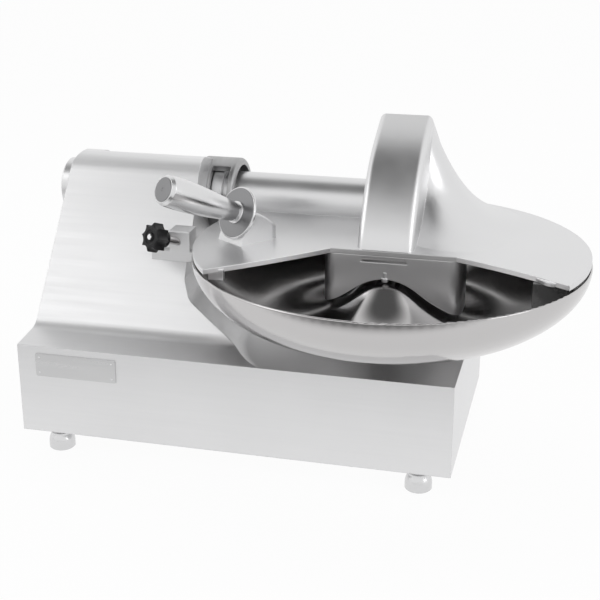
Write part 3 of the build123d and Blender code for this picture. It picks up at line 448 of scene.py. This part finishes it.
class CUTTER_OT_bowl(bpy.types.Operator):
    """Dress the polished bowl, the shafts and the fasteners."""

    bl_idname = "cutter.bowl"
    bl_label = "Bowl and shafts"

    def execute(self, context):
        values = finishes()
        bowl = polished_metal("bowl_steel", values.polished_color, values.bowl_roughness, edge=0.0012,
                              ripple=0.02)
        dress(bowl, "bowl")
        steel = polished_metal("polished_steel", values.polished_color, roughness=0.18, edge=0.0006)
        dress(steel, "bowl_spindle", "drive_pins", "shaft_housing", "shaft_bearings", "knife_shaft",
              "knife_spacer_inner", "knife_spacer_middle", "knife_nut", "knob_stud")
        return {"FINISHED"}


shaft_line = Vector((0.0, 0.137, 0.286))
hinge_disc_radius = 0.0395
hinge_screw_x = -0.1282
hinge_screw_turn = math.radians(76.0)
hinge_screw_sink = 0.0004
hinge_screw_height = 0.0024
hub_socket = 0.55
hinge_socket = 0.45
hinge_head_share = 0.85


class CUTTER_OT_screws(bpy.types.Operator):
    """Add the socket screws of the hub and of the hinge."""

    bl_idname = "cutter.screws"
    bl_label = "Screws"

    def execute(self, context):
        steel = bpy.data.materials["polished_steel"]
        radius = sizes().screw_radius
        low, high = corners_of("hub_screws")

        def hub_heads(work):
            for y, z in inset_spots((low.y, low.z), (high.y, high.z), radius):
                matrix = facing((high.x, y, z), (-1, 0, 0))
                hex_head(work, matrix, radius, high.x - low.x, radius * hub_socket)

        def hinge_head(work):
            way = Vector((0.0, -math.cos(hinge_screw_turn), math.sin(hinge_screw_turn)))
            seat = way * (hinge_disc_radius - hinge_screw_sink)
            spot = shaft_line + Vector((hinge_screw_x, 0.0, 0.0)) + seat
            hex_head(work, facing(spot, way), radius * hinge_head_share, hinge_screw_height,
                     radius * hinge_socket)

        heads = add_piece("hub_screw_heads", hub_heads, steel, "base")
        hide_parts("hub_screws")
        add_piece("hinge_screw", hinge_head, steel, "lift_cover")
        return {"FINISHED"}


ground_color = (0.66, 0.67, 0.68)


class CUTTER_OT_knives(bpy.types.Operator):
    """Dress the ground knives."""

    bl_idname = "cutter.knives"
    bl_label = "Knives"

    def execute(self, context):
        ground = brushed_metal("ground_steel", ground_color, roughness=0.22, stretch=(1.0, 0.05, 1.0),
                               edge=0.0003)
        dress(ground, "knife_left", "knife_right")
        return {"FINISHED"}


def front_way(turn, rise):
    """Direction that points to the front, turned to the left and raised."""
    return Vector((-math.sin(turn) * math.cos(rise), -math.cos(turn) * math.cos(rise), math.sin(rise)))


handle_turn = math.radians(35.5)
handle_rise = math.radians(24.0)
handle_way = front_way(handle_turn, handle_rise)
guard_middle = Vector((-0.068, -0.028, 0.3095))
handle_length = 0.115
grip_reach = 0.0112
ring_profile = ((0.0108, 0.0004), (0.0138, 0.0004), (0.0142, 0.0010), (0.0142, 0.0022), (0.0136, 0.0030),
                (0.0114, 0.0034), (0.0108, 0.0034), (0.0108, 0.0004))


class CUTTER_OT_handle(bpy.types.Operator):
    """Dress the lift handle and its guard, and add the cap, the ring and the guard's dark face."""

    bl_idname = "cutter.handle"
    bl_label = "Lift handle"

    def execute(self, context):
        values = finishes()
        turned = polished_metal("turned_metal", values.turned_color, roughness=0.22, edge=0.0012)
        dress(turned, "handle", "guard_disc", "foot_front_left", "foot_front_right", "foot_rear_left",
              "foot_rear_right")
        dark = polished_metal("dark_steel", values.dark_steel_color, roughness=0.3, edge=0.0004,
                              ripple=0.05)
        face = facing(guard_middle, handle_way)
        end = facing(guard_middle + handle_way * handle_length, handle_way)
        cap = sizes().cap_radius
        rim = sizes().guard_face_radius

        def guard_face(work):
            profile = [(grip_reach, -0.0002), (rim, -0.0002), (rim, 0.0002), (rim - 0.0004, 0.0005),
                       (grip_reach, 0.0007), (grip_reach, -0.0002)]
            turned_shape(work, profile, face, segments=72)

        def root_ring(work):
            turned_shape(work, ring_profile, face, segments=64)

        def end_cap(work):
            profile = [(0, -0.0002), (cap, -0.0002), (cap, 0.0002), (cap - 0.0006, 0.0007),
                       (cap * 0.4, 0.0010), (0.0022, 0.0010), (0.0016, 0.0004), (0, 0.0004)]
            turned_shape(work, profile, end, segments=64)

        add_piece("guard_face", guard_face, dark, "lift_cover")
        add_piece("handle_root_ring", root_ring, turned, "lift_cover")
        add_piece("handle_end_cap", end_cap, dark, "lift_cover")
        return {"FINISHED"}


stud_root = Vector((-0.153, -0.01245, 0.26225))
stud_way = front_way(math.radians(32.0), math.radians(19.0))
stud_end_profile = ((0, 0.0002), (0.0036, 0.0002), (0.0036, 0.0010), (0.0030, 0.0016), (0, 0.0018))
knob_stand = 0.0255
knob_length = 0.017
knob_specular = 0.3
star_waist = 0.77
scallop_place = 1.3
star_steps = 16


def star_reach(angle, radius, points):
    """Outline of the star at an angle: blunt points with a hollow scallop between each two."""
    half = math.pi / points
    off = angle % (2 * half) - half
    far = radius * scallop_place
    scallop = far - radius * star_waist
    inside = scallop ** 2 - (far * math.sin(off)) ** 2
    if inside <= 0:
        return radius
    return min(radius, far * math.cos(off) - math.sqrt(inside))


def star_body(work, matrix, radius, points, levels):
    """Star-shaped body from levels of (height, size, roundness), closed at both ends."""
    count = points * star_steps
    rings = []
    for height, size, roundness in levels:
        ring = []
        for k in range(count):
            angle = 2 * math.pi * k / count
            star = star_reach(angle, radius, points)
            reach = star * (1 - roundness) + radius * star_waist * roundness
            spot = Vector((reach * size * math.cos(angle), reach * size * math.sin(angle), height))
            ring.append(work.verts.new(matrix @ spot))
        rings.append(ring)
    for low, high in zip(rings, rings[1:]):
        for k in range(count):
            j = (k + 1) % count
            work.faces.new((low[k], low[j], high[j], high[k]))
    work.faces.new(rings[0])
    work.faces.new(rings[-1])


class CUTTER_OT_knob(bpy.types.Operator):
    """Build the scalloped star knob round its stud."""

    bl_idname = "cutter.knob"
    bl_label = "Star knob"

    def execute(self, context):
        values = finishes()
        black = moulded("black_plastic", values.plastic_color, roughness=0.42, grain=600.0)
        shader = black.node_tree.nodes["Principled BSDF"]
        shader.inputs["Specular IOR Level"].default_value = knob_specular
        dress(black, "control_box", "cable_gland")
        matrix = facing(stud_root + stud_way * knob_stand, stud_way)
        radius = sizes().knob_radius
        points = sizes().knob_points
        length = knob_length

        def knob(work):
            neck = [(-0.008, 0.70, 1.0), (-0.0075, 0.735, 1.0), (-0.0005, 0.77, 1.0)]
            under = [(0.0, 0.86, 0.6), (0.0004, 0.95, 0.0), (0.0016, 1.0, 0.0)]
            edge = [(length - 0.0028, 1.0, 0.0), (length - 0.0012, 0.975, 0.0), (length - 0.0003, 0.93, 0.05),
                    (length, 0.86, 0.15)]
            dish = [(length, 0.66, 1.0), (length - 0.0012, 0.6, 1.0), (length - 0.0014, 0.42, 1.0)]
            boss = [(length + 0.0004, 0.36, 1.0), (length + 0.0006, 0.33, 1.0)]
            star_body(work, matrix, radius, points, neck + under + edge + dish + boss)

        def stud_end(work):
            spot = stud_root + stud_way * (knob_stand + length)
            turned_shape(work, stud_end_profile, facing(spot, stud_way), segments=32)

        star = add_piece("star_knob", knob, black, "latch")
        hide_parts("lock_knob")
        add_piece("stud_end", stud_end, bpy.data.materials["polished_steel"], "latch")
        return {"FINISHED"}


enamel_color = (0.07, 0.085, 0.1)
iron_color = (0.3, 0.3, 0.31)
belt_color = (0.015, 0.015, 0.015)


class CUTTER_OT_drive(bpy.types.Operator):
    """Dress the motor, the gearbox, the belts and their shafts."""

    bl_idname = "cutter.drive"
    bl_label = "Drive"

    def execute(self, context):
        enamel = moulded("motor_enamel", enamel_color, roughness=0.42, grain=300.0)
        dress(enamel, "motor", "gearbox", "drive_plate")
        iron = brushed_metal("machined_iron", iron_color, roughness=0.36, stretch=(1.0, 0.05, 0.05),
                             edge=0.0004)
        dress(iron, "motor_shaft", "motor_pulley", "knife_pulley", "shaft_coupling", "worm_shaft")
        belt = moulded("belt_rubber", belt_color, roughness=0.7, grain=800.0)
        dress(belt, "drive_belts")
        return {"FINISHED"}


start_color = (0.01, 0.2, 0.04)
stop_color = (0.4, 0.012, 0.01)
bezel_profile = ((0.0114, 0), (0.0146, 0), (0.0146, 0.0012), (0.0138, 0.0020), (0.0118, 0.0020),
                 (0.0114, 0.0016), (0.0114, 0))
station_inset = 0.007
station_head_radius = 0.0032
station_head_height = 0.0018
station_socket = 0.0016


class CUTTER_OT_buttons(bpy.types.Operator):
    """Dress the two push buttons and ring them with bezels on the station's plate."""

    bl_idname = "cutter.buttons"
    bl_label = "Buttons"

    def execute(self, context):
        dress(moulded("start_green", start_color, roughness=0.28, grain=700.0), "button_start")
        dress(moulded("stop_red", stop_color, roughness=0.28, grain=700.0), "button_stop")
        low, high = corners_of("control_station")

        def bezels(work):
            for name in ("button_start", "button_stop"):
                near, far = corners_of(name)
                spot = (near + far) / 2
                matrix = facing((low.x, spot.y, spot.z), (-1, 0, 0))
                turned_shape(work, bezel_profile, matrix, segments=56)

        def plate_screws(work):
            for y, z in inset_spots((low.y, low.z), (high.y, high.z), station_inset):
                hex_head(work, facing((low.x, y, z), (-1, 0, 0)), station_head_radius, station_head_height,
                         station_socket)

        steel = bpy.data.materials["polished_steel"]
        add_piece("button_bezels", bezels, steel, "base")
        add_piece("station_screws", plate_screws, steel, "base")
        return {"FINISHED"}


def lamp(name, place, target, width, height, power):
    """Soft rectangular lamp that looks at a place."""
    data = bpy.data.lights.new(name, "AREA")
    data.shape = "RECTANGLE"
    data.size = width
    data.size_y = height
    data.energy = power
    light = bpy.data.objects.new(name, data)
    light.location = place
    light.rotation_euler = (Vector(target) - Vector(place)).to_track_quat("-Z", "Y").to_euler()
    bpy.context.scene.collection.objects.link(light)
    return light


def seen_rays(tree):
    """Two values: one for what the camera, the gloss or clear things see, and for the camera alone."""
    rays = tree.nodes.new("ShaderNodeLightPath")
    camera_ray = rays.outputs["Is Camera Ray"]
    seen = camera_ray
    for name in ("Is Glossy Ray", "Is Transmission Ray"):
        seen = combined(tree, "MAXIMUM", seen, rays.outputs[name])
    return seen, camera_ray


floor_color = (0.92, 0.92, 0.92)
floor_fall = (-0.75, -0.38)


def floor_material(white, gloss_white, far_tone):
    """Pale floor that the camera and the gloss see as white, with the machine's shadow kept.

    In the gloss its far front end falls off to the tone of the room behind the camera.
    """
    material, tree, shader = new_material("floor")
    clouds = object_noise(tree, 2.0, detail=2.0)
    wire(tree, shaded(tree, floor_color, clouds, 0.99, 1.01), shader.inputs["Base Color"])
    shader.inputs["Roughness"].default_value = 0.95
    shader.inputs["Specular IOR Level"].default_value = 0.1
    glow = tree.nodes.new("ShaderNodeEmission")
    glow.inputs["Color"].default_value = (1.0, 1.0, 1.0, 1.0)
    place = tree.nodes.new("ShaderNodeTexCoord")
    parts = tree.nodes.new("ShaderNodeSeparateXYZ")
    wire(tree, place.outputs["Object"], parts.inputs["Vector"])
    falloff = mapped(tree, parts.outputs["Y"], floor_fall, (far_tone, 1.0), smooth=True)
    seen, camera_ray = seen_rays(tree)
    share = mapped(tree, camera_ray, (0.0, 1.0), (gloss_white, white))
    wire(tree, combined(tree, "MAXIMUM", camera_ray, falloff), glow.inputs["Strength"])
    mix = tree.nodes.new("ShaderNodeMixShader")
    wire(tree, combined(tree, "MULTIPLY", seen, share), mix.inputs["Fac"])
    wire(tree, shader.outputs["BSDF"], mix.inputs[1])
    wire(tree, glow.outputs["Emission"], mix.inputs[2])
    wire(tree, mix.outputs["Shader"], tree.nodes["Material Output"].inputs["Surface"])
    return material


ceiling_way = (-0.1, -0.15, 0.98)
ceiling_fade = (0.79, 0.97)


def studio_world(strength, dark):
    """White room that grows darker over the machine."""
    world = bpy.data.worlds.new("studio")
    world.use_nodes = True
    tree = world.node_tree
    background = tree.nodes["Background"]
    seen, camera_ray = seen_rays(tree)
    wire(tree, mapped(tree, seen, (0.0, 1.0), (strength, 1.0)), background.inputs["Strength"])
    place = tree.nodes.new("ShaderNodeTexCoord")
    toward = tree.nodes.new("ShaderNodeVectorMath")
    toward.operation = "DOT_PRODUCT"
    toward.inputs[1].default_value = Vector(ceiling_way).normalized()
    wire(tree, place.outputs["Generated"], toward.inputs[0])
    fade = mapped(tree, toward.outputs["Value"], ceiling_fade, (0.0, 1.0), smooth=True)
    hidden = combined(tree, "SUBTRACT", fade, camera_ray, clamp=True)
    tone = tree.nodes.new("ShaderNodeMix")
    tone.data_type = "RGBA"
    tone.inputs["A"].default_value = (1.0, 1.0, 1.0, 1.0)
    tone.inputs["B"].default_value = (dark, dark, dark, 1.0)
    wire(tree, hidden, tone.inputs["Factor"])
    wire(tree, tone.outputs["Result"], background.inputs["Color"])
    return world


floor_side = 9.0
floor_front = -1.4
floor_rear = 12.0
floor_drop = 0.0002
lamp_target = (0.0, 0.0, 0.2)
top_place = (0.0, 0.5, 2.3)
side_place = (2.0, -0.7, 1.1)
left_place = (-2.0, -1.1, 1.9)


class CUTTER_OT_stage(bpy.types.Operator):
    """Set the floor, the camera and the lamps."""

    bl_idname = "cutter.stage"
    bl_label = "Studio"

    def execute(self, context):
        scene = context.scene
        values = studio()
        mesh = bpy.data.meshes.new("floor")
        work = bmesh.new()
        outline = ((-floor_side, floor_front), (floor_side, floor_front), (floor_side, floor_rear),
                   (-floor_side, floor_rear))
        work.faces.new([work.verts.new((x, y, 0)) for x, y in outline])
        work.to_mesh(mesh)
        work.free()
        floor = bpy.data.objects.new("floor", mesh)
        floor.location = (0, 0, -floor_drop)
        scene.collection.objects.link(floor)
        mesh.materials.append(floor_material(values.floor_white, values.floor_gloss, values.floor_far))

        scene.world = studio_world(values.world_strength, values.room_dark)
        overhead = lamp("top_lamp", top_place, lamp_target, width=2.0, height=1.4, power=values.top_power)
        overhead.visible_glossy = False
        lamp("side_lamp", side_place, lamp_target, width=1.0, height=1.6, power=values.side_power)
        lamp("left_lamp", left_place, lamp_target, width=1.2, height=1.2, power=values.left_power)

        data = bpy.data.cameras.new("camera")
        data.lens = values.camera_lens
        data.sensor_width = 36.0
        data.clip_start = 0.05
        data.clip_end = 60.0
        camera = bpy.data.objects.new("camera", data)
        camera.location = values.camera_place
        camera.rotation_euler = (math.pi / 2 - values.camera_pitch, 0.0, values.camera_azimuth)
        scene.collection.objects.link(camera)
        scene.camera = camera
        scene.view_settings.view_transform = "Standard"
        return {"FINISHED"}


operator_names = ("housing", "cover", "bowl", "screws", "knives", "handle", "knob", "drive", "buttons",
                  "stage")


class CUTTER_PT_panel(bpy.types.Panel):
    """Lists the operators that dress the machine."""

    bl_label = "Meat bowl cutter"
    bl_idname = "CUTTER_PT_panel"
    bl_space_type = "VIEW_3D"
    bl_region_type = "UI"
    bl_category = "Bowl cutter"

    def draw(self, context):
        column = self.layout.column()
        for name in operator_names:
            column.operator("cutter." + name)


classes = (CutterFinishes, CutterSizes, CutterStudio, CUTTER_OT_housing, CUTTER_OT_cover, CUTTER_OT_bowl,
           CUTTER_OT_screws, CUTTER_OT_knives, CUTTER_OT_handle, CUTTER_OT_knob, CUTTER_OT_drive,
           CUTTER_OT_buttons, CUTTER_OT_stage, CUTTER_PT_panel)


def register():
    """Makes the add-on's classes and its values known to Blender."""
    for item in classes:
        bpy.utils.register_class(item)
    bpy.types.Scene.cutter_finishes = bpy.props.PointerProperty(type=CutterFinishes)
    bpy.types.Scene.cutter_sizes = bpy.props.PointerProperty(type=CutterSizes)
    bpy.types.Scene.cutter_studio = bpy.props.PointerProperty(type=CutterStudio)


def unregister():
    """Takes the values and the classes away again."""
    del bpy.types.Scene.cutter_studio
    del bpy.types.Scene.cutter_sizes
    del bpy.types.Scene.cutter_finishes
    for item in reversed(classes):
        bpy.utils.unregister_class(item)


def main():
    """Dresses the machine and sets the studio."""
    register()
    for name in operator_names:
        getattr(bpy.ops.cutter, name)()


if __name__ == "__main__":
    main()
